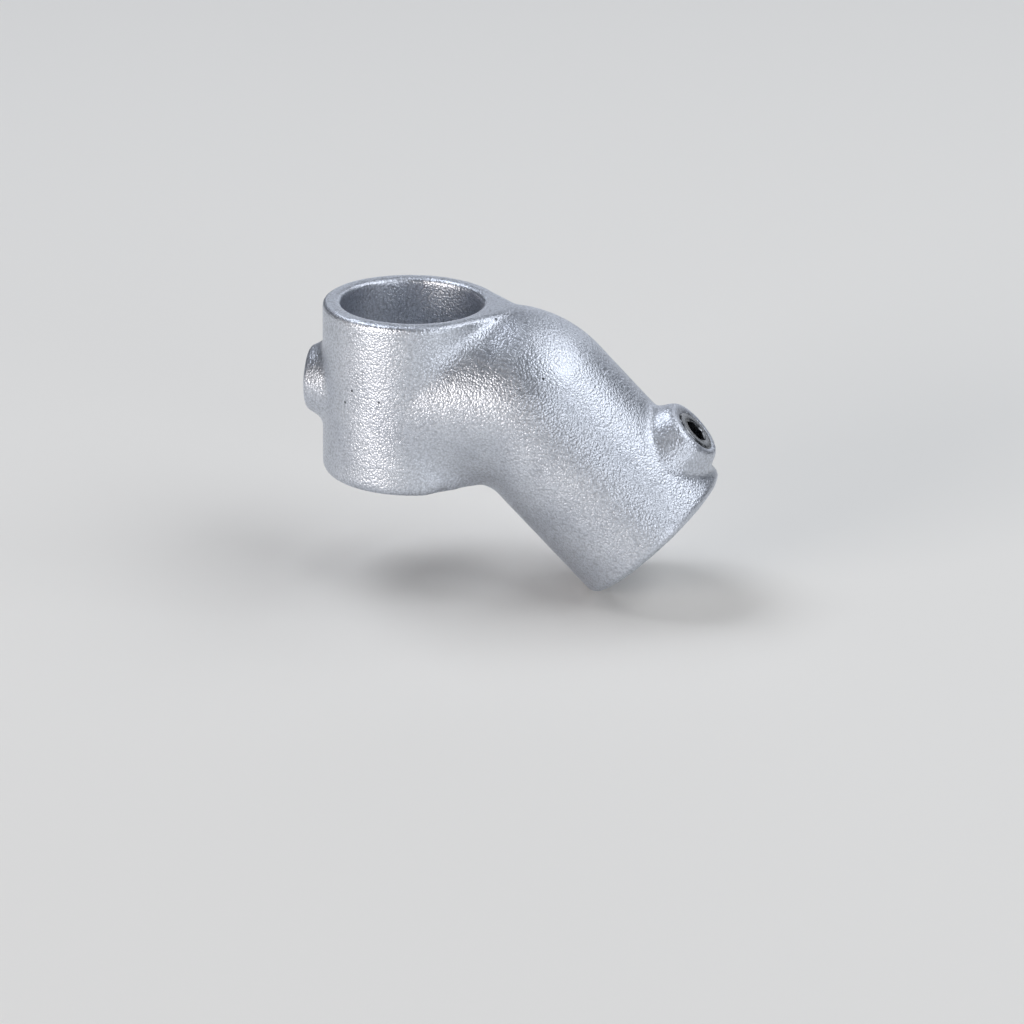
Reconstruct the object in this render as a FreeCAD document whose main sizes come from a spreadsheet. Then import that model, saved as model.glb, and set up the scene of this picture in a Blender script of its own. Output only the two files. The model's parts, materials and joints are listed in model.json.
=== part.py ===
import FreeCAD, Part
import math
import os
import Sketcher

# Forty-five degree tube connector: a galvanised malleable casting and its two set screws.
# Frame: origin at the middle of the sleeve bore, +Z up the upright, +X towards the brace.
# Millimetres and degrees. The casting is mirror-symmetric about the XZ plane.

Vector = FreeCAD.Vector

# Driving dimensions, each written once: alias, value, meaning
DIMENSIONS = [
    ("tube_diameter", 48.3, "outside diameter of both tubes"),
    ("bore_clearance", 0.75, "radial gap between a tube and its bore"),
    ("wall", 6.1, "wall of the sleeve"),
    ("sleeve_height", 62.0, "length of the sleeve along the upright"),
    ("brace_angle", 45.0, "angle between the brace and the upright"),
    ("crossing_height", 40.0, "height above the sleeve middle where the two tube axes cross"),
    ("mouth_station", 125.0, "distance along the brace axis from that crossing to the socket mouth"),
    ("bend_radius", 14.5, "centreline radius of the arm's bend"),
    ("arm_relief", 0.3, "how far the sleeve's outline stands proud of the arm"),
    ("blend_radius", 7.0, "concave blend where the arm grows out of the sleeve"),
    ("top_rounding", 1.8, "rounding of the sleeve's upper outer edge"),
    ("bottom_rounding", 3.2, "rounding of the sleeve's lower outer edge"),
    ("mouth_rounding", 2.6, "rounding of the socket's outer mouth edge"),
    ("entry_chamfer", 1.0, "chamfer where a tube enters a bore"),
    ("socket_depth", 48.0, "depth of the brace socket"),
    ("passage_radius", 20.0, "radius of the cored passage behind the socket"),
    ("sleeve_boss_wall", 2.6, "wall of the sleeve's boss around its screw hole, at the face"),
    ("sleeve_boss_height", 5.6, "height of that boss's face above the sleeve"),
    ("socket_boss_wall", 2.9, "the same at the socket, if its screw were in the boss's middle"),
    ("socket_boss_height", 6.3, "height of that boss's face above the arm"),
    ("socket_boss_setback", 0.9, "how far that boss's middle lies behind its screw, away from the mouth"),
    ("boss_draft", 28.0, "slope of a boss's side from its axis"),
    ("boss_rounding", 2.2, "rounding of a boss's outer edge"),
    ("boss_fillet", 4.0, "concave fillet at the foot of a boss"),
    ("boss_margin", 0.2, "plain wall between the socket boss and the rounding of the mouth"),
    ("screw_diameter", 16.66, "outside diameter of a set screw over its thread"),
    ("screw_clearance", 0.05, "radial gap between a screw and its hole"),
    ("screw_length", 11.2, "length of a set screw"),
    ("screw_recess", 0.3, "how far a screw's head end lies below the boss face"),
    ("hole_chamfer", 0.3, "countersink at the outer end of a screw hole"),
    ("hex_width", 8.0, "width across flats of the key socket"),
    ("hex_depth", 5.5, "depth of the key socket's flats"),
    ("drill_depth", 1.3, "depth of the drilled cone below those flats"),
    ("head_chamfer", 0.9, "chamfer at the head end of a screw"),
    ("point_chamfer", 1.6, "chamfer at the gripping end of a screw"),
    ("cup_radius", 4.6, "radius of the cup in the gripping end"),
    ("cup_depth", 1.6, "depth of that cup"),
]

# Sizes worked out from the driving ones, as formulas in the same sheet
DERIVED = [
    ("bore_radius", "tube_diameter / 2 + bore_clearance"),
    ("sleeve_radius", "bore_radius + wall"),
    ("half_height", "sleeve_height / 2"),
    ("arm_radius", "min(sleeve_radius; half_height) - arm_relief"),
    ("turn", "90 - brace_angle"),
    ("corner_reach", "crossing_height * tan(brace_angle * 1 deg)"),
    ("corner_station", "crossing_height / cos(brace_angle * 1 deg)"),
    ("bend_tangent", "bend_radius * tan(turn / 2 * 1 deg)"),
    ("bend_start", "corner_reach - bend_tangent"),
    ("bend_end", "corner_station + bend_tangent"),
    ("spare", "3 * blend_radius"),
    ("root_run", "sleeve_radius + 2 * blend_radius"),
    ("socket_floor", "mouth_station - socket_depth"),
    ("screw_radius", "screw_diameter / 2"),
    ("hole_radius", "screw_radius + screw_clearance"),
    ("sleeve_boss_radius", "hole_radius + sleeve_boss_wall"),
    ("socket_boss_radius", "hole_radius + socket_boss_wall"),
    ("boss_flare", "tan(boss_draft * 1 deg)"),
    ("boss_root", "bore_radius * 0.8"),
    ("boss_run_out", "boss_fillet * tan((90 - boss_draft) / 2 * 1 deg)"),
    ("boss_foot", "socket_boss_radius + socket_boss_height * boss_flare + boss_run_out"),
    ("boss_station", "mouth_station - mouth_rounding - boss_margin - boss_foot"),
    ("boss_reach", "boss_station * sin(brace_angle * 1 deg)"),
    ("boss_level", "crossing_height - boss_station * cos(brace_angle * 1 deg)"),
    ("screw_station", "boss_station + socket_boss_setback"),
    ("screw_reach", "screw_station * sin(brace_angle * 1 deg)"),
    ("screw_level", "crossing_height - screw_station * cos(brace_angle * 1 deg)"),
    ("sleeve_face", "sleeve_radius + sleeve_boss_height"),
    ("socket_face", "arm_radius + socket_boss_height"),
]


# The sheet of sizes

def make_sheet(doc):
    """Plain numbers first, then the formulas that use them."""
    sheet = doc.addObject("Spreadsheet::Sheet", "sizes")
    rows = [(alias, str(number), note) for alias, number, note in DIMENSIONS]
    rows += [(alias, "=" + formula, "worked out") for alias, formula in DERIVED]
    for row, (alias, content, note) in enumerate(rows, start=1):
        sheet.set(f"A{row}", alias)
        sheet.set(f"B{row}", content)
        sheet.set(f"C{row}", note)
        sheet.setAlias(f"B{row}", alias)
    doc.recompute()
    return sheet


# Sketches

def new_sketch(body, name, plane_role, offset=None):
    """A sketch on one of the body's own planes, shifted within or off it by formulas."""
    sketch = body.newObject("Sketcher::SketchObject", name)
    plane = next(item for item in body.Origin.OriginFeatures if item.Role == plane_role)
    sketch.AttachmentSupport = [(plane, "")]
    sketch.MapMode = "FlatFace"
    for axis, formula in (offset or {}).items():
        sketch.setExpression(f"AttachmentOffset.Base.{axis}", formula)
    return sketch


def lean(sketch):
    """Turn a sketch of the XZ plane so that its X runs down the brace and its Y away from it."""
    sketch.AttachmentOffset = FreeCAD.Placement(Vector(), FreeCAD.Rotation(Vector(0, 0, -1), 1))
    sketch.setExpression("AttachmentOffset.Rotation.Angle", "sizes.turn * 1 deg")
    return sketch


def brace_sketch(body, name):
    """X is the station along the brace axis, counted from the crossing of the two tube axes."""
    return lean(new_sketch(body, name, "XZ_Plane", {"y": "sizes.crossing_height"}))


def sleeve_boss_sketch(body, name):
    """Y is the distance from the sleeve axis, out along -X."""
    sketch = new_sketch(body, name, "XZ_Plane")
    sketch.AttachmentOffset = FreeCAD.Placement(Vector(), FreeCAD.Rotation(Vector(0, 0, 1), 90))
    return sketch


def socket_boss_sketch(body, name):
    """Y is the distance from the brace axis, out along the socket boss's own axis."""
    return lean(new_sketch(body, name, "XZ_Plane", {"x": "sizes.boss_reach", "y": "sizes.boss_level"}))


def socket_screw_sketch(body, name):
    """Y is the distance from the brace axis, out along the socket's screw."""
    return lean(new_sketch(body, name, "XZ_Plane", {"x": "sizes.screw_reach", "y": "sizes.screw_level"}))


def hold(sketch, geometry, end, x_formula, y_formula):
    """Hold a point of the sketch at a place given by two formulas."""
    for axis, own_line, formula in (("X", -2, x_formula), ("Y", -1, y_formula)):
        if formula == "0":
            sketch.addConstraint(Sketcher.Constraint("PointOnObject", geometry, end, own_line))
        else:
            size = float(sketch.evalExpression(formula))
            constraint = Sketcher.Constraint("Distance" + axis, -1, 1, geometry, end, size)
            sketch.setExpression(f"Constraints[{sketch.addConstraint(constraint)}]", formula)


def draw_polygon(sketch, corners):
    """A closed outline of straight lines, its corners given as pairs of formulas."""
    places = [Vector(*(float(sketch.evalExpression(formula)) for formula in corner)) for corner in corners]
    count = len(corners)
    for index in range(count):
        sketch.addGeometry(Part.LineSegment(places[index], places[(index + 1) % count]))
    for index in range(count):
        sketch.addConstraint(Sketcher.Constraint("Coincident", index, 2, (index + 1) % count, 1))
    for index, corner in enumerate(corners):
        hold(sketch, index, 1, *corner)
    return sketch


def draw_circle(sketch, radius):
    """A circle about the sketch's origin."""
    sketch.addGeometry(Part.Circle(Vector(), Vector(0, 0, 1), float(sketch.evalExpression(radius))))
    sketch.addConstraint(Sketcher.Constraint("Coincident", 0, 3, -1, 1))
    size = Sketcher.Constraint("Radius", 0, float(sketch.evalExpression(radius)))
    sketch.setExpression(f"Constraints[{sketch.addConstraint(size)}]", radius)
    return sketch


def draw_segment(sketch, radius, rise, upper):
    """The part of a circle above or below the sketch's X axis; its centre lies above that axis."""
    radius_now = float(sketch.evalExpression(radius))
    rise_now = float(sketch.evalExpression(rise))
    dip = math.asin(rise_now / radius_now)
    start, end = (-dip, math.pi + dip) if upper else (math.pi + dip, 2 * math.pi - dip)
    circle = Part.Circle(Vector(0, rise_now, 0), Vector(0, 0, 1), radius_now)
    arc = Part.ArcOfCircle(circle, start, end)
    sketch.addGeometry(arc)
    sketch.addGeometry(Part.LineSegment(arc.EndPoint, arc.StartPoint))
    sketch.addConstraint(Sketcher.Constraint("Coincident", 0, 2, 1, 1))
    sketch.addConstraint(Sketcher.Constraint("Coincident", 1, 2, 0, 1))
    sketch.addConstraint(Sketcher.Constraint("PointOnObject", 0, 1, -1))
    sketch.addConstraint(Sketcher.Constraint("PointOnObject", 0, 2, -1))
    hold(sketch, 0, 3, "0", rise)
    size = Sketcher.Constraint("Radius", 0, radius_now)
    sketch.setExpression(f"Constraints[{sketch.addConstraint(size)}]", radius)
    return sketch


# Features

def feature(body, kind, name, sketch):
    made = body.newObject("PartDesign::" + kind, name)
    made.Profile = sketch
    sketch.Visibility = False
    return made


def spin(body, kind, name, sketch, axis, angle="360", backwards=False):
    """A Revolution or a Groove about one of its sketch's own axes."""
    made = feature(body, kind, name, sketch)
    made.ReferenceAxis = (sketch, [axis])
    made.setExpression("Angle", angle)
    made.Reversed = backwards
    return made


def extrude(body, kind, name, sketch, length, backwards=False, both_ways=False):
    """A Pad or a Pocket."""
    made = feature(body, kind, name, sketch)
    made.setExpression("Length", length)
    made.Reversed = backwards
    made.Midplane = both_ways
    return made


def edge_points(edge):
    first, last = edge.ParameterRange
    return [edge.valueAt(first + (last - first) * step / 8) for step in range(9)]


def is_straight(edge):
    points = edge_points(edge)
    return abs(points[0].distanceToPoint(points[-1]) - edge.Length) < 1e-6


def at_radius(edge, base, axis, radius):
    """True where the whole edge keeps one distance from an axis."""
    return all(abs(point.distanceToLine(base, axis) - radius) < 1e-3 for point in edge_points(edge))


def in_plane(edge, base, normal):
    """True where the whole edge lies in a plane."""
    return all(abs((point - base).dot(normal)) < 1e-3 for point in edge_points(edge))


def edges_where(shape, wanted):
    """The numbers of the edges that a test picks out."""
    numbers = [number for number, edge in enumerate(shape.Edges, start=1)
               if not edge.Degenerated and wanted(edge)]
    if not numbers:
        raise RuntimeError("no edge passes the test")
    return numbers


def round_off(body, name, base, radius, wanted):
    """Fillet every edge of a feature that a test picks out."""
    base.Document.recompute()
    made = body.newObject("PartDesign::Fillet", name)
    made.Base = (base, [f"Edge{number}" for number in edges_where(base.Shape, wanted)])
    made.setExpression("Radius", radius)
    return made


# The casting

def brace_axes(sheet):
    """Unit vectors down the brace and out along the socket's screw."""
    lean_angle = math.radians(sheet.turn)
    along = Vector(math.cos(lean_angle), 0, -math.sin(lean_angle))
    outward = Vector(math.sin(lean_angle), 0, math.cos(lean_angle))
    return along, outward


def add_sleeve(body, sheet):
    """The sleeve starts taller than it ends, so that the blend can run out past its flat ends."""
    blank = draw_polygon(new_sketch(body, "sleeve_profile", "XZ_Plane"), [
        ("0", "-sizes.half_height - sizes.spare"),
        ("sizes.sleeve_radius", "-sizes.half_height - sizes.spare"),
        ("sizes.sleeve_radius", "sizes.half_height + sizes.spare"),
        ("0", "sizes.half_height + sizes.spare")])
    spin(body, "Revolution", "sleeve_blank", blank, "V_Axis")
    up, outward = Vector(0, 0, 1), Vector(-1, 0, 0)
    add_boss(body, "sleeve_boss", sleeve_boss_sketch, "sizes.sleeve_face", Vector(), outward,
             lambda edge: at_radius(edge, Vector(), up, sheet.sleeve_radius))


def add_root(body, sheet):
    """The bent root of the arm, blended into the sleeve along the whole crease between them."""
    root = draw_circle(new_sketch(body, "root_profile", "YZ_Plane"), "sizes.arm_radius")
    extrude(body, "Pad", "root", root, "sizes.bend_start")

    # Below the bend's own axis the root runs straight on, inside what becomes the straight arm
    low = new_sketch(body, "underside_profile", "YZ_Plane", {"y": "-sizes.bend_radius"})
    draw_segment(low, "sizes.arm_radius", "sizes.bend_radius", upper=False)
    extrude(body, "Pad", "underside", low, "sizes.root_run")

    # Above it the same circle swings round
    at_bend = {"y": "-sizes.bend_radius", "z": "sizes.bend_start"}
    high = new_sketch(body, "bend_profile", "YZ_Plane", at_bend)
    draw_segment(high, "sizes.arm_radius", "sizes.bend_radius", upper=True)
    bend = spin(body, "Revolution", "bend", high, "H_Axis", "sizes.turn")

    up = Vector(0, 0, 1)
    along, outward = brace_axes(sheet)
    pivot = Vector(sheet.bend_start, 0, -sheet.bend_radius)

    def is_crease(edge):
        points = edge_points(edge)
        flat = is_straight(edge) or in_plane(edge, points[0], up) or in_plane(edge, pivot, along)
        return at_radius(edge, Vector(), up, sheet.sleeve_radius) and not flat and points[4].x > 0

    round_off(body, "blend", bend, "sizes.blend_radius", is_crease)


def trim_sleeve(body, sheet):
    """Both ends of the sleeve are cut flat through the blend, and their outer edges rounded."""
    up = Vector(0, 0, 1)
    for name, sign in (("top_trim", ""), ("bottom_trim", "-")):
        trim = draw_polygon(new_sketch(body, name + "_profile", "XZ_Plane"), [
            ("-sizes.root_run", f"{sign}(sizes.half_height)"),
            ("sizes.root_run", f"{sign}(sizes.half_height)"),
            ("sizes.root_run", f"{sign}(sizes.half_height + 2 * sizes.spare)"),
            ("-sizes.root_run", f"{sign}(sizes.half_height + 2 * sizes.spare)")])
        cut = extrude(body, "Pocket", name, trim, "4 * sizes.root_run", both_ways=True)

    top = round_off(body, "top_rim", cut, "sizes.top_rounding",
                    lambda edge: in_plane(edge, up * sheet.half_height, up))
    round_off(body, "bottom_rim", top, "sizes.bottom_rounding",
              lambda edge: in_plane(edge, up * -sheet.half_height, up))


def add_arm(body, sheet):
    """The straight arm down to the socket's rounded mouth, with the socket's boss."""
    straight = draw_polygon(brace_sketch(body, "arm_profile"), [
        ("sizes.bend_end", "0"),
        ("sizes.mouth_station", "0"),
        ("sizes.mouth_station", "sizes.arm_radius"),
        ("sizes.bend_end", "sizes.arm_radius")])
    arm = spin(body, "Revolution", "arm", straight, "H_Axis")

    along, outward = brace_axes(sheet)
    crossing = Vector(0, 0, sheet.crossing_height)
    mouth = crossing + along * sheet.mouth_station
    round_off(body, "mouth", arm, "sizes.mouth_rounding", lambda edge: in_plane(edge, mouth, along))
    boss_base = Vector(sheet.boss_reach, 0, sheet.boss_level)
    add_boss(body, "socket_boss", socket_boss_sketch, "sizes.socket_face", boss_base, outward,
             lambda edge: at_radius(edge, crossing, along, sheet.arm_radius))


def add_boss(body, name, make_sketch, face, base, axis, on_wall):
    """A tapered round boss, rooted inside the bore, with a rounded edge and a filleted foot."""
    radius = f"sizes.{name}_radius"
    profile = draw_polygon(make_sketch(body, name + "_profile"), [
        ("0", "sizes.boss_root"),
        (f"{radius} + ({face} - sizes.boss_root) * sizes.boss_flare", "sizes.boss_root"),
        (radius, face),
        ("0", face)])
    boss = spin(body, "Revolution", name, profile, "V_Axis")
    top = base + axis * float(boss.evalExpression(face))
    foot_limit = 2 * float(boss.evalExpression(radius))

    def is_foot(edge):
        near = all(point.distanceToLine(base, axis) < foot_limit for point in edge_points(edge))
        ahead = all((point - base).dot(axis) > 0 for point in edge_points(edge))
        return on_wall(edge) and near and ahead and not is_straight(edge)

    edged = round_off(body, name + "_edge", boss, "sizes.boss_rounding",
                      lambda edge: in_plane(edge, top, axis))
    round_off(body, name + "_foot", edged, "sizes.boss_fillet", is_foot)


def add_bores(body):
    """The upright's through bore, the brace's blind socket and the cored passage between them."""
    beyond = "sizes.entry_chamfer"
    upright = draw_polygon(new_sketch(body, "upright_bore_profile", "YZ_Plane"), [
        ("0", f"-sizes.half_height - {beyond}"),
        (f"sizes.bore_radius + sizes.entry_chamfer + {beyond}", f"-sizes.half_height - {beyond}"),
        ("sizes.bore_radius", "-sizes.half_height + sizes.entry_chamfer"),
        ("sizes.bore_radius", "sizes.half_height - sizes.entry_chamfer"),
        (f"sizes.bore_radius + sizes.entry_chamfer + {beyond}", f"sizes.half_height + {beyond}"),
        ("0", f"sizes.half_height + {beyond}")])
    spin(body, "Groove", "upright_bore", upright, "V_Axis")

    socket = draw_polygon(brace_sketch(body, "brace_socket_profile"), [
        ("sizes.corner_station", "0"),
        ("sizes.corner_station", "sizes.passage_radius"),
        ("sizes.socket_floor", "sizes.passage_radius"),
        ("sizes.socket_floor", "sizes.bore_radius"),
        ("sizes.mouth_station - sizes.entry_chamfer", "sizes.bore_radius"),
        ("sizes.mouth_station + sizes.wall", "sizes.bore_radius + sizes.entry_chamfer + sizes.wall"),
        ("sizes.mouth_station + sizes.wall", "0")])
    spin(body, "Groove", "brace_socket", socket, "H_Axis")

    passage = draw_circle(new_sketch(body, "passage_profile", "YZ_Plane"), "sizes.passage_radius")
    extrude(body, "Pocket", "passage", passage, "sizes.corner_reach", backwards=True)

    turn = body.newObject("PartDesign::SubtractiveSphere", "passage_turn")
    turn.setExpression("Radius", "sizes.passage_radius")
    turn.setExpression("Placement.Base.x", "sizes.corner_reach")


def add_screw_holes(body):
    """A countersunk hole through each boss into its bore."""
    holes = [
        ("sleeve_hole", sleeve_boss_sketch, "sizes.sleeve_face"),
        ("socket_hole", socket_screw_sketch, "sizes.socket_face")]
    for name, make_sketch, face in holes:
        profile = draw_polygon(make_sketch(body, name + "_profile"), [
            ("0", "sizes.hole_radius"),
            ("sizes.hole_radius", "sizes.hole_radius"),
            ("sizes.hole_radius", f"{face} - sizes.hole_chamfer"),
            ("sizes.hole_radius + 2 * sizes.hole_chamfer", f"{face} + sizes.hole_chamfer"),
            ("0", f"{face} + sizes.hole_chamfer")])
        spin(body, "Groove", name, profile, "V_Axis")


def make_casting(doc, sheet):
    body = doc.addObject("PartDesign::Body", "casting")
    body.Label = "casting"
    add_sleeve(body, sheet)
    add_root(body, sheet)
    trim_sleeve(body, sheet)
    add_arm(body, sheet)
    add_bores(body)
    add_screw_holes(body)
    return body


# The set screws

def make_set_screw(doc, name):
    """A socket set screw with a cup point; its axis is +Z and its head end lies at the origin."""
    body = doc.addObject("PartDesign::Body", name)
    body.Label = name
    blank = draw_polygon(new_sketch(body, name + "_profile", "XZ_Plane"), [
        ("0", "0"),
        ("sizes.screw_radius - sizes.head_chamfer", "0"),
        ("sizes.screw_radius", "-sizes.head_chamfer"),
        ("sizes.screw_radius", "-sizes.screw_length + sizes.point_chamfer"),
        ("sizes.screw_radius - sizes.point_chamfer", "-sizes.screw_length"),
        ("sizes.cup_radius", "-sizes.screw_length"),
        ("0", "-sizes.screw_length + sizes.cup_depth")])
    spin(body, "Revolution", name + "_blank", blank, "V_Axis")

    flat = "sizes.hex_width / 2"
    half_side = "sizes.hex_width / 2 * tan(30 deg)"
    corner = "sizes.hex_width / 2 / cos(30 deg)"
    key = draw_polygon(new_sketch(body, name + "_key_profile", "XY_Plane"), [
        (flat, half_side), ("0", corner), (f"-{flat}", half_side),
        (f"-{flat}", f"-{half_side}"), ("0", f"-{corner}"), (flat, f"-{half_side}")])
    extrude(body, "Pocket", name + "_key", key, "sizes.hex_depth")

    cone = draw_polygon(new_sketch(body, name + "_drill_profile", "XZ_Plane"), [
        ("0", "-sizes.hex_depth"),
        (flat, "-sizes.hex_depth"),
        ("0", "-sizes.hex_depth - sizes.drill_depth")])
    spin(body, "Groove", name + "_drill", cone, "V_Axis")
    return body


def place_set_screws(doc):
    """One screw in the sleeve boss and one in the socket boss, each along its boss's axis."""
    sleeve = make_set_screw(doc, "sleeve_set_screw")
    sleeve.Placement = FreeCAD.Placement(Vector(), FreeCAD.Rotation(Vector(0, -1, 0), 90))
    sleeve.setExpression("Placement.Base.x", "-(sizes.sleeve_face - sizes.screw_recess)")

    socket = make_set_screw(doc, "socket_set_screw")
    socket.Placement = FreeCAD.Placement(Vector(), FreeCAD.Rotation(Vector(0, 1, 0), 1))
    socket.setExpression("Placement.Rotation.Angle", "sizes.turn * 1 deg")
    depth = "(sizes.socket_face - sizes.screw_recess)"
    socket.setExpression("Placement.Base.x", f"sizes.screw_reach + {depth} * cos(sizes.brace_angle * 1 deg)")
    socket.setExpression("Placement.Base.z", f"sizes.screw_level + {depth} * sin(sizes.brace_angle * 1 deg)")
    return [sleeve, socket]


# Checks and export

def check(doc, bodies):
    """Stop on any failed object or unsound solid before anything is written."""
    failed = [item.Name for item in doc.Objects if {"Invalid", "Error"} & set(item.State)]
    for body in bodies:
        shape = body.Shape
        if shape.isNull() or not shape.isValid() or len(shape.Solids) != 1:
            failed.append(body.Label)
    if failed:
        raise RuntimeError("failed: " + ", ".join(failed))


def main():
    doc = FreeCAD.newDocument("tube_connector")
    sheet = make_sheet(doc)
    bodies = [make_casting(doc, sheet)] + place_set_screws(doc)
    doc.recompute()
    check(doc, bodies)
    os.makedirs("parts", exist_ok=True)
    for body in bodies:
        body.Shape.exportStep(os.path.join("parts", body.Label + ".step"))
        box = body.Shape.BoundBox
        print(f"{body.Label}: volume {body.Shape.Volume:.0f} mm3, X {box.XMin:.1f} to {box.XMax:.1f}, "
              f"Y {box.YMin:.1f} to {box.YMax:.1f}, Z {box.ZMin:.1f} to {box.ZMax:.1f}")


main()
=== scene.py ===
# %% [markdown]
# # Forty-five degree tube connector
# A slip-on fitting for handrails and frames: a cast sleeve slides over an upright tube, and a bent
# arm ends in a socket for a sloping brace. A grub screw in a round boss grips each tube.
# The solids come from CAD and stay where they are. This lesson gives them the skin, the screw threads
# and the finishes of the real thing: cast iron dipped in molten zinc, and plain steel screws.

import json
import math

import bmesh
import bpy
import numpy as np
from mathutils import Matrix, Vector, kdtree, noise

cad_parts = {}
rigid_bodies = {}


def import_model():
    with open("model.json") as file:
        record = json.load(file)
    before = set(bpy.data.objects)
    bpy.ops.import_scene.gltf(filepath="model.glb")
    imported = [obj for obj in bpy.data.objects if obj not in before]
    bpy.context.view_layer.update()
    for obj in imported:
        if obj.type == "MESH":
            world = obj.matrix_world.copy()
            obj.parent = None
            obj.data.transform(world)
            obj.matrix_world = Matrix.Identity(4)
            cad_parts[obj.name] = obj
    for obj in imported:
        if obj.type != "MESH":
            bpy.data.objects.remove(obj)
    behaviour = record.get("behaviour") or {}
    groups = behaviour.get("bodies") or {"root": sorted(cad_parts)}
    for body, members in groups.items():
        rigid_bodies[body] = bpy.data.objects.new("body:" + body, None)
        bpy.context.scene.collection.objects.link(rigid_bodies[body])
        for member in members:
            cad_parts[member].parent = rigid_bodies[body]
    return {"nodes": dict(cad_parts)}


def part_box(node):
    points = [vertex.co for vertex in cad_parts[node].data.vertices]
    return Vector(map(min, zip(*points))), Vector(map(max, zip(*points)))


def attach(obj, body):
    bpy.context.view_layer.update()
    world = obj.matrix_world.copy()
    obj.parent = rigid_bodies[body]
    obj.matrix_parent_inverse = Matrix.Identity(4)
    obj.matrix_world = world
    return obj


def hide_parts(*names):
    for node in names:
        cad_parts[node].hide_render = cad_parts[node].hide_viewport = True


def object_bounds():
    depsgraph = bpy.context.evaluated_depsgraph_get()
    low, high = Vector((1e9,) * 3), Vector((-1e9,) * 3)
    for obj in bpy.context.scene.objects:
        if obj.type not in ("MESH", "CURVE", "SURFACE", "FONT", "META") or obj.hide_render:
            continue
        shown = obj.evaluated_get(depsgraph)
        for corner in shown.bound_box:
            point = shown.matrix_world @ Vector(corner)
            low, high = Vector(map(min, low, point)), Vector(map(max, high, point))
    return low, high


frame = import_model()
cad_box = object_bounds()
scene = bpy.context.scene
MM = 0.001
print("solids:", sorted(frame["nodes"]), "lowest point", round(cad_box[0].z / MM, 2), "mm")

# %% [markdown]
# ## Camera
# A long lens from a little to the right of the sleeve and about twenty degrees above it. Its place and
# aim come from matching the rims and the outline of the real object, so no shift is needed. A Track To
# constraint could aim it as well, but a fixed matrix also holds the slight roll.

# %% Camera
camera_data = bpy.data.cameras.new("camera")
camera_data.sensor_width = 36
camera_data.lens = 122.94
camera_data.clip_start = 0.05
camera = bpy.data.objects.new("camera", camera_data)
scene.collection.objects.link(camera)
eye = Vector((0.232239, -1.136363, 0.404107))
aim = Vector((-0.157996, 0.918346, -0.362873))
upward = Vector((-0.080263, 0.354329, 0.931670))
turned = Matrix((aim.cross(upward), upward, -aim)).transposed().to_4x4()
camera.matrix_world = Matrix.Translation(eye) @ turned
scene.camera = camera
print("camera at", [round(value, 3) for value in camera.matrix_world.translation])

# %% [markdown]
# ## Where the screws sit
# Both screws and both tapped holes are turned forms, so each needs one place: the middle of the screw's
# head end, with local Z pointing out of the boss. It can be read from the box of the CAD screw, because
# a screw is the same all round. From here on, work is done in millimetres.

# %% Screw places
SCREW_LENGTH = 11.2
WAYS_OUT = {"sleeve_set_screw": Vector((-1, 0, 0)), "socket_set_screw": Vector((1, 0, 1)).normalized()}


def screw_place(node):
    """The frame at a screw's head end, in millimetres, with Z along its way out."""
    low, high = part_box(node)
    out = WAYS_OUT[node]
    head = (low + high) / 2 / MM + out * SCREW_LENGTH / 2
    return Matrix.Translation(head) @ out.to_track_quat("Z", "Y").to_matrix().to_4x4()


places = {node: screw_place(node) for node in WAYS_OUT}
for node, place in places.items():
    print(node, "head end at", [round(value, 2) for value in place.translation])

# %% [markdown]
# ## A form turned about its axis
# A lathe gives a form by its radius at each height. Here a radius may also change with the angle, so
# one function makes plain plugs, threads and hexagon sockets. It could be done with Blender's Screw
# modifier, but that can't change the radius along the way round.

# %% Turned forms
SEGMENTS = 72


def turned_form(rings):
    """A closed form about Z from rings of (height, radius by angle); the first and last are points."""
    form = bmesh.new()
    angles = [2 * math.pi * step / SEGMENTS for step in range(SEGMENTS)]
    first = form.verts.new((0, 0, rings[0][0]))
    last = form.verts.new((0, 0, rings[-1][0]))
    rows = []
    for height, radius in rings[1:-1]:
        sides = [(radius(angle), angle) for angle in angles]
        rows.append([form.verts.new((out * math.cos(angle), out * math.sin(angle), height))
                     for out, angle in sides])
    for here in range(SEGMENTS):
        there = (here + 1) % SEGMENTS
        form.faces.new((first, rows[0][there], rows[0][here]))
        form.faces.new((last, rows[-1][here], rows[-1][there]))
        for lower, upper in zip(rows, rows[1:]):
            form.faces.new((lower[here], lower[there], upper[there], upper[here]))
    bmesh.ops.recalc_face_normals(form, faces=form.faces)
    return form


def plain(radius):
    """A ring of one radius all round."""
    return lambda angle: radius


def placed_mesh(name, rings, place):
    """A turned form as a mesh, set at a place."""
    form = turned_form(rings)
    form.transform(place)
    mesh = bpy.data.meshes.new(name)
    form.to_mesh(mesh)
    form.free()
    return mesh


print("turned forms have", SEGMENTS, "sides")

# %% [markdown]
# ## Even mesh for the cast skin
# CAD gives long thin triangles, which can't carry the lumps of a casting. Subdividing them would keep
# their shape, so the solid is rebuilt in even cells instead. The two screw holes are plugged first: in
# the foundry they are solid too, and they are drilled and tapped after the casting is done.
# The inside corners of the solid are noted on the way, because the even cells will blur them.

# %% Plug the screw holes
# A plug is wider than its hole, ends just under the boss's face and stops short of the bore.
WELD = 1e-4
INSIDE_CORNER = math.radians(-12)
PLUG_RADIUS = 9.2
PLUG_BOTTOM, PLUG_TOP = -11.3, -0.7


def add_piece(name, mesh):
    """A new object with this mesh, in the scene."""
    piece = bpy.data.objects.new(name, mesh)
    scene.collection.objects.link(piece)
    return piece


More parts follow.
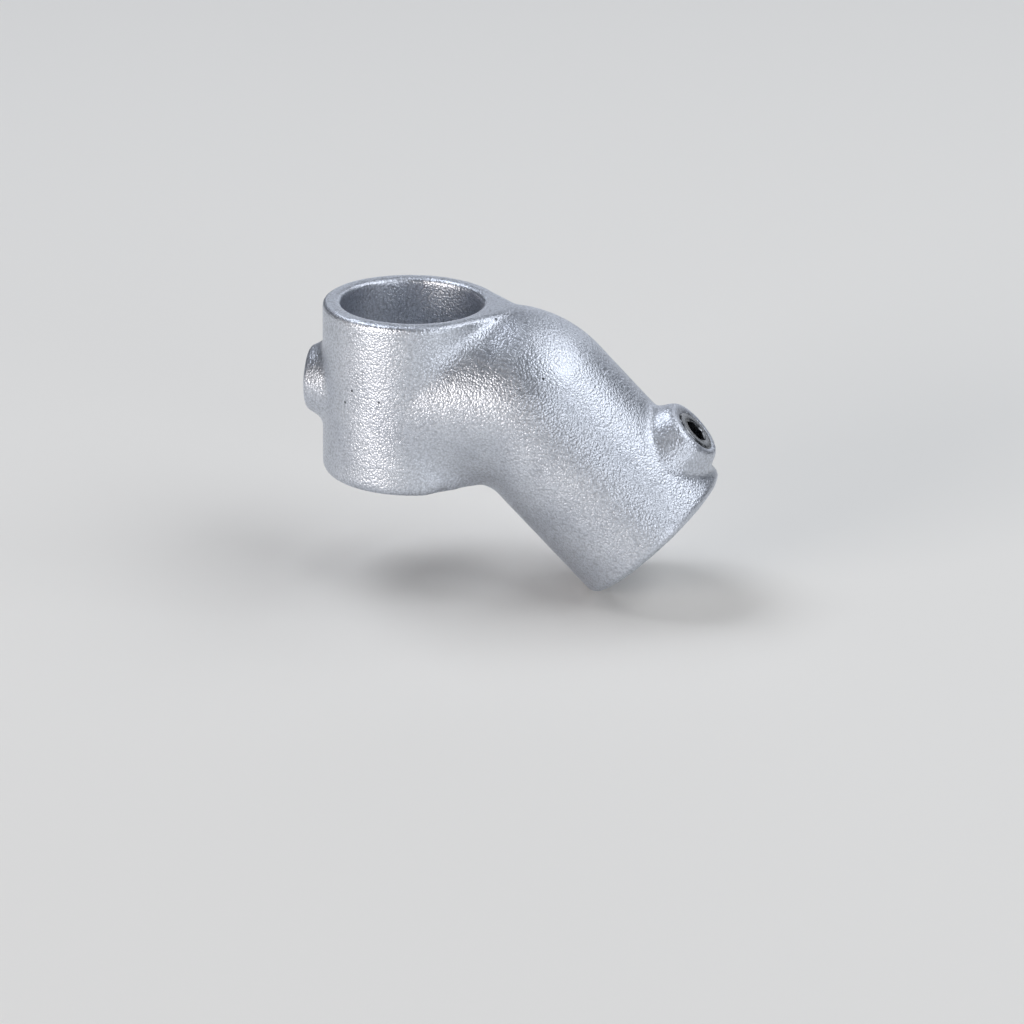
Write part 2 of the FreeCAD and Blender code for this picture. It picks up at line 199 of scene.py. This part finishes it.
blank = bmesh.new()
blank.from_mesh(frame["nodes"]["casting"].data)
bmesh.ops.scale(blank, vec=(1 / MM,) * 3, verts=blank.verts)
bmesh.ops.remove_doubles(blank, verts=blank.verts, dist=WELD)
folds = [edge for edge in blank.edges if len(edge.link_faces) == 2]
inside_corners = [(edge.verts[0].co + edge.verts[1].co) / 2 for edge in folds
                  if edge.calc_face_angle_signed() < INSIDE_CORNER]
wall = plain(PLUG_RADIUS)
plug = [(PLUG_BOTTOM, None), (PLUG_BOTTOM, wall), (PLUG_TOP, wall), (PLUG_TOP, None)]
for place in places.values():
    plug_mesh = placed_mesh("plug", plug, place)
    blank.from_mesh(plug_mesh)
    bpy.data.meshes.remove(plug_mesh)
blank_mesh = bpy.data.meshes.new("cast_body")
blank.to_mesh(blank_mesh)
blank.free()
cast_body = add_piece("cast_body", blank_mesh)
print(len(places), "holes plugged,", len(inside_corners), "edges in inside corners")

# %% Build the even mesh
CELL = 0.92


def settle(piece):
    """Give a piece the mesh that its modifiers make, and drop them."""
    bpy.context.view_layer.update()
    seen = piece.evaluated_get(bpy.context.evaluated_depsgraph_get())
    old = piece.data
    made = bpy.data.meshes.new_from_object(seen)
    piece.modifiers.clear()
    piece.data = made
    bpy.data.meshes.remove(old)
    return made


cells = cast_body.modifiers.new("even cells", "REMESH")
cells.mode = "VOXEL"
cells.voxel_size = CELL
skin = settle(cast_body)
print("even mesh:", len(skin.vertices), "points,", len(skin.polygons), "cells")

# %% [markdown]
# ## Smooth away cells and facets
# The cells leave faint steps, and the CAD facets faint flats. Plain smoothing would shrink every edge,
# so each step of smoothing is followed by a slightly longer step back. That keeps the form and removes
# only what is finer than a few millimetres.

# %% Points and neighbours
COUNT = len(skin.vertices)
points = np.zeros(COUNT * 3)
skin.vertices.foreach_get("co", points)
points = points.reshape(-1, 3)
pairs = np.zeros(len(skin.edges) * 2, int)
skin.edges.foreach_get("vertices", pairs)
pairs = pairs.reshape(-1, 2)
starts = np.concatenate([pairs[:, 0], pairs[:, 1]])
ends = np.concatenate([pairs[:, 1], pairs[:, 0]])
neighbours = np.bincount(starts, minlength=COUNT)[:, None]
print("a point has", round(neighbours.mean(), 2), "neighbours on average")

# %% Smooth the skin
# Shares of the way to the neighbours' mean, forward and then back.
SMOOTHING_STEPS = 14
STEP, STEP_BACK = 0.5, -0.53


def relaxed(now, share):
    """The points' values, moved a share of the way to the mean of their neighbours' values."""
    sums = [np.bincount(starts, weights=column[ends], minlength=COUNT) for column in now.T]
    return now + share * (np.stack(sums, 1) / neighbours - now)


before = points
for step in range(SMOOTHING_STEPS):
    points = relaxed(points, STEP)
    points = relaxed(points, STEP_BACK)
print("smoothing moved points", round(np.linalg.norm(points - before, axis=1).mean(), 3), "mm on average")

# %% [markdown]
# ## Fill the crook
# Under the bend, where the arm meets the foot of the sleeve, sand can't hold a sharp inside corner.
# A bevel modifier would need clean edges there, which even cells don't have. Instead the skin near the
# corner is relaxed much further than the rest, and it pulls itself into a soft round crook. The bores
# and the passage between them have to stay true, so the points inside are told apart first.

# %% Outside and inside
# The axes of the two bores cross above the sleeve. Nearer to an axis than its skin is inside.
CROSSING = (0, 0, 40)
BORE_SKIN = 26.4
BRACE_INSIDE_FROM = 64
PASSAGE_SKIN = 21.5
PASSAGE_END = 60


def from_axis(base, direction):
    """How far each point lies from an axis, and how far along it."""
    direction = np.array(Vector(direction).normalized())
    offset = points - np.array(base)
    along = offset @ direction
    return np.linalg.norm(offset - along[:, None] * direction, axis=1), along


from_upright = from_axis((0, 0, 0), (0, 0, 1))[0]
from_brace, station = from_axis(CROSSING, (1, 0, -1))
from_passage, reach = from_axis((0, 0, 0), (1, 0, 0))
in_socket = (from_brace < BORE_SKIN) & (station > BRACE_INSIDE_FROM)
in_passage = (from_passage < PASSAGE_SKIN) & (reach > 0) & (reach < PASSAGE_END)
outside = np.where((from_upright < BORE_SKIN) | in_socket | in_passage, 0.0, 1.0)
print(round(100 * outside.mean()), "percent of the points are outside")

# %% Soft crook
# The pull fades out at its reach from a corner, and works along X and below a height only.
CROOK_REACH = 8.0
CROOK_FROM, CROOK_TO, CROOK_TOP = 8, 60, -8
CROOK_STEPS = 50


def eased(share):
    """A share from 0 to 1 with a soft start and a soft end."""
    return share * share * (3 - 2 * share)


corner_tree = kdtree.KDTree(len(inside_corners))
for number, corner in enumerate(inside_corners):
    corner_tree.insert(corner, number)
corner_tree.balance()
to_corner = np.array([corner_tree.find(point)[2] for point in points])
forward, up = points[:, 0], points[:, 2]
under_bend = (forward > CROOK_FROM) & (forward < CROOK_TO) & (up < CROOK_TOP)
pull = eased(np.clip(1 - to_corner / CROOK_REACH, 0, 1) * outside * under_bend)[:, None]
before = points
for step in range(CROOK_STEPS):
    points = relaxed(points, STEP * pull)
print("the crook filled by up to", round(np.linalg.norm(points - before, axis=1).max(), 2), "mm")

# %% [markdown]
# ## Ease the valley
# Above the crook the arm runs into the sleeve through a valley, tight at the rim and wide at the front.
# A CAD fillet keeps one radius, so the skin is eased on: a much smoother copy of it lies higher in every
# hollow and lower on every bulge, and only the rise in the hollows is kept, as running zinc would do.

# %% Wide valley
# Along X the rise fades in from one place and out towards another. It is then blurred, and held back
# from spreading past them.
VALLEY_FROM, FADE_IN = -8, 12
VALLEY_TO, FADE_OUT = 58, 14
EASING_STEPS = 160
BLUR_STEPS = 12
HOLD_BACK = 4


def point_normals():
    """Put the points on the skin and read its normals."""
    skin.vertices.foreach_set("co", points.ravel())
    skin.update()
    directions = np.zeros(COUNT * 3)
    skin.vertices.foreach_get("normal", directions)
    return directions.reshape(-1, 3)


normals = point_normals()
forward = points[:, 0]
fade = np.clip((forward - VALLEY_FROM) / FADE_IN, 0, 1) * np.clip((VALLEY_TO - forward) / FADE_OUT, 0, 1)
around = (fade * outside)[:, None]
smooth = points
for step in range(EASING_STEPS):
    smooth = relaxed(smooth, STEP * outside[:, None])
rise = np.clip(((smooth - points) * normals).sum(1, keepdims=True), 0, None) * around
for step in range(BLUR_STEPS):
    rise = relaxed(rise, STEP) * np.clip(around * HOLD_BACK, 0, 1)
points = points + normals * rise
print("the valley rose by up to", round(rise.max(), 2), "mm")

# %% [markdown]
# ## Lumps of the casting
# Sand leaves a pebbly skin, and the zinc that runs over it rounds the pebbles. The coarse part of that,
# a few hundredths of a millimetre high and two to five millimetres long, is real geometry here. The
# finer grain is left to the finish. A Displace modifier could raise the lumps too, but it would also
# reach the bores, which stay true because tubes slide in them.

# %% Lumps
def lumps(height, size, shift):
    """Smooth noise at each point, in lumps of about this height and length in millimetres."""
    start = Vector((shift, -shift, 2 * shift))
    return height * np.array([noise.noise(Vector(point) / size + start) for point in points])


normals = point_normals()
swell = lumps(height=0.04, size=4.8, shift=3.1) + lumps(height=0.02, size=2.4, shift=7.7)
points = points + normals * (swell * outside)[:, None]
skin.vertices.foreach_set("co", points.ravel())
skin.update()
print("lumps from", round(swell.min(), 3), "to", round(swell.max(), 3), "mm")

# %% [markdown]
# ## Tapped holes
# The pipe thread is cut after casting. It has nineteen turns to the inch and flanks at fifty-five
# degrees with rounded crests. A helix can be swept along a curve, but a turned form is simpler: the
# radius just depends on height and angle. The same function makes the cutter for the holes and the
# screws themselves, so they match turn for turn.

# %% Thread
PITCH = 25.4 / 19
THREAD_DEPTH = 0.64 * PITCH
# Going from a root to a crest, a rounded share, the flank and a rounded share again make up the way.
ROUNDED_SHARE, FLANK_SHARE = 0.17, 0.66
ROWS_PER_TURN = 10
screw_low, screw_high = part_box("sleeve_set_screw")
CREST = (screw_high.y - screw_low.y) / 2 / MM


def thread(height, crest, depth):
    """A ring of a right-hand thread, at one height."""
    def radius(angle):
        phase = (height / PITCH - angle / (2 * math.pi)) % 1.0
        flank = (1 - abs(2 * phase - 1) - ROUNDED_SHARE) / FLANK_SHARE
        return crest - depth * (1 - eased(min(max(flank, 0), 1)))
    return radius


print("thread: crest radius", round(CREST, 2), "pitch", round(PITCH, 3), "depth", round(THREAD_DEPTH, 3))

# %% Cutter for a tapped hole
# The hole's thread is a little wider than the screw's and a little shallower. Height 0 is the head end.
THREAD_GAP = 0.08
SHALLOWER = 0.06
HOLE_BOTTOM = -16.0
SINK_TOP, CUTTER_TOP = 1.2, 3.0


def hole_rings():
    """The cutter: a thread that opens in a small countersink at the boss's face."""
    crest = CREST + THREAD_GAP
    rings = [(HOLE_BOTTOM, None)]
    for row in range(round(-HOLE_BOTTOM / PITCH * ROWS_PER_TURN) + 1):
        height = HOLE_BOTTOM + row * PITCH / ROWS_PER_TURN
        groove = thread(height, crest, THREAD_DEPTH - SHALLOWER)
        sink = crest + height
        rings.append((height, lambda angle, groove=groove, sink=sink: max(groove(angle), sink)))
    mouth = plain(crest + SINK_TOP)
    return rings + [(SINK_TOP, mouth), (CUTTER_TOP, mouth), (CUTTER_TOP, None)]


print("the cutter is made of", len(hole_rings()), "rings")

# %% Cut the tapped holes
SLIVER = 0.012


def close_slivers(mesh):
    """Close up the hair-thin slivers that a cut leaves where it passes close by a corner of the mesh."""
    form = bmesh.new()
    form.from_mesh(mesh)
    bmesh.ops.remove_doubles(form, verts=form.verts, dist=SLIVER)
    bmesh.ops.dissolve_degenerate(form, dist=SLIVER, edges=form.edges)
    bmesh.ops.triangulate(form, faces=[face for face in form.faces if len(face.verts) > 4])
    form.to_mesh(mesh)
    form.free()


for place in places.values():
    cutter = add_piece("tap", placed_mesh("tap", hole_rings(), place))
    tap = cast_body.modifiers.new("tap", "BOOLEAN")
    tap.operation = "DIFFERENCE"
    tap.solver = "MANIFOLD"
    tap.object = cutter
    skin = settle(cast_body)
    close_slivers(skin)
    tap_mesh = cutter.data
    bpy.data.objects.remove(cutter)
    bpy.data.meshes.remove(tap_mesh)
skin.transform(Matrix.Scale(MM, 4))
skin.update()
print("cast body:", sum(len(face.vertices) - 2 for face in skin.polygons), "triangles")

# %% [markdown]
# ## Colours and nodes
# Hex colours are written as they look on a screen, and Blender works in linear light, so one function
# changes them over. Others add a node with its settings and links, a colour that runs between two
# tones, and a value mapped to a new range, which keeps each finish short. Object coordinates are in
# metres, so a pattern's scale is worked out from its size in millimetres.

# %% Colours and nodes
def linear(code):
    """An sRGB hex colour as linear RGBA."""
    parts = [int(code[start:start + 2], 16) / 255 for start in (1, 3, 5)]
    light = [part / 12.92 if part <= 0.04045 else ((part + 0.055) / 1.055) ** 2.4 for part in parts]
    return [*light, 1.0]


def new_material(name):
    """A material with no nodes yet."""
    material = bpy.data.materials.new(name)
    material.use_nodes = True
    material.node_tree.nodes.clear()
    return material


def add_node(material, kind, settings=None, links=None, **attributes):
    """Add a node, set its attributes and input sockets, and link inputs to other nodes' outputs."""
    node = material.node_tree.nodes.new(kind)
    for key, value in attributes.items():
        setattr(node, key, value)
    for key, value in (settings or {}).items():
        node.inputs[key].default_value = value
    for key, (source, output) in (links or {}).items():
        material.node_tree.links.new(source.outputs[output], node.inputs[key])
    return node


def two_tones(material, pattern, *stops):
    """A colour that follows a noise pattern between two stops of (pattern value, hex colour)."""
    tone = add_node(material, "ShaderNodeValToRGB", None, {"Fac": (pattern, "Fac")})
    for element, (position, code) in zip(tone.color_ramp.elements, stops):
        element.position = position
        element.color = linear(code)
    return tone


def mapped(material, source, given, wanted=(0.0, 1.0), **attributes):
    """A value that runs over the wanted range while its source runs over the given one."""
    settings = {"From Min": given[0], "From Max": given[1], "To Min": wanted[0], "To Max": wanted[1]}
    return add_node(material, "ShaderNodeMapRange", settings, {"Value": source}, **attributes)


def every(size):
    """Texture scale for a pattern of this size in millimetres."""
    return 1 / (size * MM)


print("a 2 mm pattern has scale", every(2))

# %% [markdown]
# ## Finish: hot-dip galvanised cast iron
# The iron is dipped in molten zinc, which freezes to a satin blue-grey metal. To the eye it is a soft
# broad shine, broken into small glints by the pebbles of the sand skin, which are under a millimetre
# wide. Painted shade makes the hollows between them a little darker and their tops a little lighter.
# The shine is duller in patches, and a few pinholes where gas came out are dented and painted dark
# with painted shade. A picture of such a skin could be wrapped around, but it would stretch at the
# bend, and cells and noise in space don't. Metallic is one, and roughness about 0.4.

# %% Galvanised finish: pebbles and grain
# The cell distance grows away from a pebble's middle, so it counts downward in the relief.
PEBBLE, GRAIN = 0.8, 0.5
PEBBLE_WEIGHT = -1.4
zinc = new_material("hot_dip_galvanised_cast_iron")
at = add_node(zinc, "ShaderNodeTexCoord")
pebbles = add_node(zinc, "ShaderNodeTexVoronoi",
                   {"Scale": every(PEBBLE), "Smoothness": 0.25, "Randomness": 1.0},
                   {"Vector": (at, "Object")}, feature="SMOOTH_F1")
grain = add_node(zinc, "ShaderNodeTexNoise", {"Scale": every(GRAIN), "Detail": 1.0, "Roughness": 0.5},
                 {"Vector": (at, "Object")})
relief = add_node(zinc, "ShaderNodeMath", {1: PEBBLE_WEIGHT},
                  {0: (pebbles, "Distance"), 2: (grain, "Fac")}, operation="MULTIPLY_ADD")
print("relief from", pebbles.name, "and", grain.name)

# %% Galvanised finish: pinholes
# Each pinhole is dented in the relief, and the same mask paints it dark as painted shade.
PINHOLES = [(-5.0, -30.5, 3.2), (-18.1, -25.1, 0.6), (-15.3, -26.9, 5.5), (50.7, -24.3, 14.2),
            (31.7, -10.8, 29.9), (12.0, 28.6, -6.0), (66.0, 26.0, -22.0), (-24.0, 19.6, 12.0)]
PIT_FLOOR, PIT_RIM = 0.15 * MM, 0.7 * MM
RELIEF_HEIGHT = 0.098 * MM
clear = None
for pinhole in PINHOLES:
    gap = add_node(zinc, "ShaderNodeVectorMath", {1: Vector(pinhole) * MM}, {0: (at, "Object")},
                   operation="DISTANCE")
    rim = mapped(zinc, (gap, "Value"), (PIT_FLOOR, PIT_RIM), interpolation_type="SMOOTHSTEP")
    if clear is None:
        clear = (rim, "Result")
    else:
        both = add_node(zinc, "ShaderNodeMath", None, {0: clear, 1: (rim, "Result")},
                        operation="MULTIPLY")
        clear = (both, "Value")
dented = add_node(zinc, "ShaderNodeMath", None, {0: (relief, "Value"), 1: clear}, operation="ADD")
bump = add_node(zinc, "ShaderNodeBump", {"Strength": 1.0, "Distance": RELIEF_HEIGHT},
                {"Height": (dented, "Value")})
print(len(PINHOLES), "pinholes")

# %% Galvanised finish: colour and shine
PATCH = 14
patches = add_node(zinc, "ShaderNodeTexNoise", {"Scale": every(PATCH), "Detail": 3.0, "Roughness": 0.5},
                   {"Vector": (at, "Object")})
tone = two_tones(zinc, patches, (0.3, "#c7ccd6"), (0.7, "#d1d6df"))
# Painted shade: the colour is multiplied darker in the hollows of the relief and lighter on the pebble
# tops.
painted_hollow_shade = mapped(zinc, (relief, "Value"), (-0.75, 0.25), (0.8, 1.17))
shaded = add_node(zinc, "ShaderNodeMix", {0: 1.0}, {6: (tone, "Color"), 7: (painted_hollow_shade, "Result")},
                  data_type="RGBA", blend_type="MULTIPLY")
# Painted shade: the pinholes are painted dark grey.
painted_pinhole_shade = add_node(zinc, "ShaderNodeMix", {6: linear("#44474d")}, {0: clear, 7: (shaded, 2)},
                  data_type="RGBA")
dullness = mapped(zinc, (patches, "Fac"), (0.3, 0.7), (0.36, 0.43))
zinc_surface = add_node(zinc, "ShaderNodeBsdfPrincipled", {"Metallic": 1.0},
                        {"Base Color": (painted_pinhole_shade, 2), "Roughness": (dullness, "Result"),
                         "Normal": (bump, "Normal")})
add_node(zinc, "ShaderNodeOutputMaterial", None, {"Surface": (zinc_surface, "BSDF")})
print("zinc has", len(zinc.node_tree.nodes), "nodes")

# %% Galvanise the casting
SKIN_CREASE = math.radians(40)
skin.materials.clear()
skin.materials.append(zinc)
skin.shade_smooth()
skin.set_sharp_from_angle(angle=SKIN_CREASE)
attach(cast_body, "casting")
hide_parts("casting")
print("galvanised skin on", cast_body.name)

# %% [markdown]
# ## Set screws
# A short grub screw of hard steel, with a hexagon socket for the key, a chamfered head, a full pipe
# thread and a cup point that bites the tube. The socket could be cut out with a Boolean modifier, but
# one turned form is cleaner: rings run from the bottom of the socket, over the head, down the thread
# and into the cup.

# %% Set screw form
# Heights count down from the head end.
HEX_FLATS = 8.0
HEX_FLOOR, DRILL_TIP = -5.5, -6.8
HEX_TOP = -0.4
DRILL_RADIUS, SOCKET_RIM = 3.97, 4.9
HEAD_CHAMFER, POINT_CHAMFER = 0.9, 1.6
CUP_RADIUS, CUP_DEPTH = 4.7, 1.6
FIRST_ROW, THREADED = -0.15, SCREW_LENGTH - 0.3
SOFT_EDGE = 0.15


def hexagon(angle):
    """A ring with six flats."""
    away = (angle + math.pi / 6) % (math.pi / 3) - math.pi / 6
    return HEX_FLATS / 2 / math.cos(away)


def screw_rings():
    """From the bottom of the key socket over the head and down the thread to the cup in the point."""
    head, point = CREST - HEAD_CHAMFER, CREST - POINT_CHAMFER
    rings = [(DRILL_TIP, None), (HEX_FLOOR, plain(DRILL_RADIUS)),
             (HEX_FLOOR, hexagon), (HEX_TOP, hexagon),
             (-0.05, plain(SOCKET_RIM - SOFT_EDGE)), (0.0, plain(SOCKET_RIM)),
             (0.0, plain(head - SOFT_EDGE)), (-0.04, plain(head))]
    for row in range(round(THREADED / PITCH * ROWS_PER_TURN)):
        height = FIRST_ROW - row * PITCH / ROWS_PER_TURN
        ridge = thread(height, CREST, THREAD_DEPTH)
        cone = min(head - height, point + SCREW_LENGTH + height)
        rings.append((height, lambda angle, ridge=ridge, cone=cone: min(ridge(angle), cone)))
    end = -SCREW_LENGTH
    return rings + [(end + 0.03, plain(point - 0.03)), (end, plain(point - 0.2)),
                    (end, plain(CUP_RADIUS)), (end + 0.06, plain(CUP_RADIUS - SOFT_EDGE)),
                    (end + CUP_DEPTH, None)]


print("a screw is made of", len(screw_rings()), "rings")

# %% [markdown]
# ## Finish: machined steel
# The screws are turned from bar and left plain. To the eye they are darker and much shinier than the
# zinc, with a fine mottle from oil and handling. Turning marks could be drawn as rings, but at this size
# only the mottle shows, so one noise drives colour, shine and relief. Metallic is one, and roughness
# about a quarter.

# %% Steel finish
MOTTLE = 0.9
MARK_HEIGHT = 0.04 * MM
steel = new_material("machined_plain_steel")
at = add_node(steel, "ShaderNodeTexCoord")
mottle = add_node(steel, "ShaderNodeTexNoise", {"Scale": every(MOTTLE), "Detail": 4.0, "Roughness": 0.6},
                  {"Vector": (at, "Object")})
steel_tone = two_tones(steel, mottle, (0.35, "#6c6f73"), (0.65, "#919498"))
polish = mapped(steel, (mottle, "Fac"), (0.3, 0.7), (0.18, 0.32))
marks = add_node(steel, "ShaderNodeBump", {"Strength": 0.3, "Distance": MARK_HEIGHT},
                 {"Height": (mottle, "Fac")})
steel_surface = add_node(steel, "ShaderNodeBsdfPrincipled", {"Metallic": 1.0},
                         {"Base Color": (steel_tone, "Color"), "Roughness": (polish, "Result"),
                          "Normal": (marks, "Normal")})
add_node(steel, "ShaderNodeOutputMaterial", None, {"Surface": (steel_surface, "BSDF")})
print("steel has", len(steel.node_tree.nodes), "nodes")

# %% The two screws
SCREW_CREASE = math.radians(32)
for node, body in (("sleeve_set_screw", "sleeve_screw"), ("socket_set_screw", "socket_screw")):
    screw_mesh = placed_mesh(node + "_threaded", screw_rings(), Matrix.Scale(MM, 4) @ places[node])
    screw = add_piece(node + "_threaded", screw_mesh)
    screw_mesh.materials.append(steel)
    screw_mesh.shade_smooth()
    screw_mesh.set_sharp_from_angle(angle=SCREW_CREASE)
    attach(screw, body)
    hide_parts(node)
    print(screw.name, len(screw_mesh.polygons), "faces")

# %% [markdown]
# ## Floor and light
# A pale matt floor lies under the lowest lip. Metal shows what stands around it, so small lamps would
# give hard spots, and large soft boxes are used instead. A low warm one at the front left draws the
# upright band of light on the sleeve, and a weaker one opposite opens the front of the arm. A high one
# on the right lights the arm's flank and a high one on the left the rims and the crest. Two at the back
# edge the outline, and a faint blue world fills what they leave.

# %% Floor
HALF_FLOOR = 5.0
FLOOR_GAP = 0.2 * MM
level = cad_box[0].z - FLOOR_GAP
corners = [(x * HALF_FLOOR, y * HALF_FLOOR, level) for x, y in ((-1, -1), (1, -1), (1, 1), (-1, 1))]
floor_mesh = bpy.data.meshes.new("floor")
floor_mesh.from_pydata(corners, [], [(0, 1, 2, 3)])
floor = add_piece("floor", floor_mesh)
paper = new_material("matt_pale_paper")
paper_surface = add_node(paper, "ShaderNodeBsdfDiffuse", {"Color": linear("#ecebe8")})
add_node(paper, "ShaderNodeOutputMaterial", None, {"Surface": (paper_surface, "BSDF")})
floor_mesh.materials.append(paper)
print("floor at", round(level / MM, 2), "mm")

# %% Soft boxes
LAMP_DISTANCE = 2.4


def soft_box(name, bearing, rise, size, power, tint):
    """A lamp that faces the object. Its bearing is counted to the right from the object's front."""
    lamp_data = bpy.data.lights.new(name, "AREA")
    lamp_data.shape = "RECTANGLE"
    lamp_data.size, lamp_data.size_y = size
    lamp_data.energy = power
    lamp_data.color = linear(tint)[:3]
    lamp = bpy.data.objects.new(name, lamp_data)
    scene.collection.objects.link(lamp)
    turn, tilt = math.radians(bearing), math.radians(rise)
    away = Vector((math.sin(turn) * math.cos(tilt), -math.cos(turn) * math.cos(tilt), math.sin(tilt)))
    lamp.location = (cad_box[0] + cad_box[1]) / 2 + away * LAMP_DISTANCE
    lamp.rotation_euler = away.to_track_quat("Z", "Y").to_euler()
    lamp.visible_camera = False
    print(name, "at", [round(value, 2) for value in lamp.location])


soft_box("front_left_box", -37, 9, (1.2, 1.0), 34, "#fff6ee")
soft_box("front_right_box", 40, 8, (1.1, 0.9), 10, "#fafcff")
soft_box("right_box", 80, 48, (2.0, 1.5), 23, "#fafcff")
soft_box("back_right_box", 140, 50, (1.4, 1.2), 8, "#fafcff")
soft_box("back_box", 180, 15, (2.4, 0.9), 7, "#f6f9ff")
soft_box("left_box", -112, 60, (1.7, 1.1), 22, "#f6f9ff")

# %% Fill light and view
FILL = 0.1
world = bpy.data.worlds.new("studio")
scene.world = world
world.use_nodes = True
fill = world.node_tree.nodes["Background"]
fill.inputs["Color"].default_value = linear("#d9e2f2")
fill.inputs["Strength"].default_value = FILL
scene.view_settings.view_transform = "Standard"
print("fill light of", FILL)

# %% [markdown]
# A fitting has to fit its tubes, so the skin must not make it bigger. The box of the CAD solids, kept
# from the start, is printed here. Boxes could be compared by eye, but numbers show a tenth of a
# millimetre.

# %% Size of the CAD solids
print("cad box", [[round(value / MM, 2) for value in corner] for corner in cad_box])
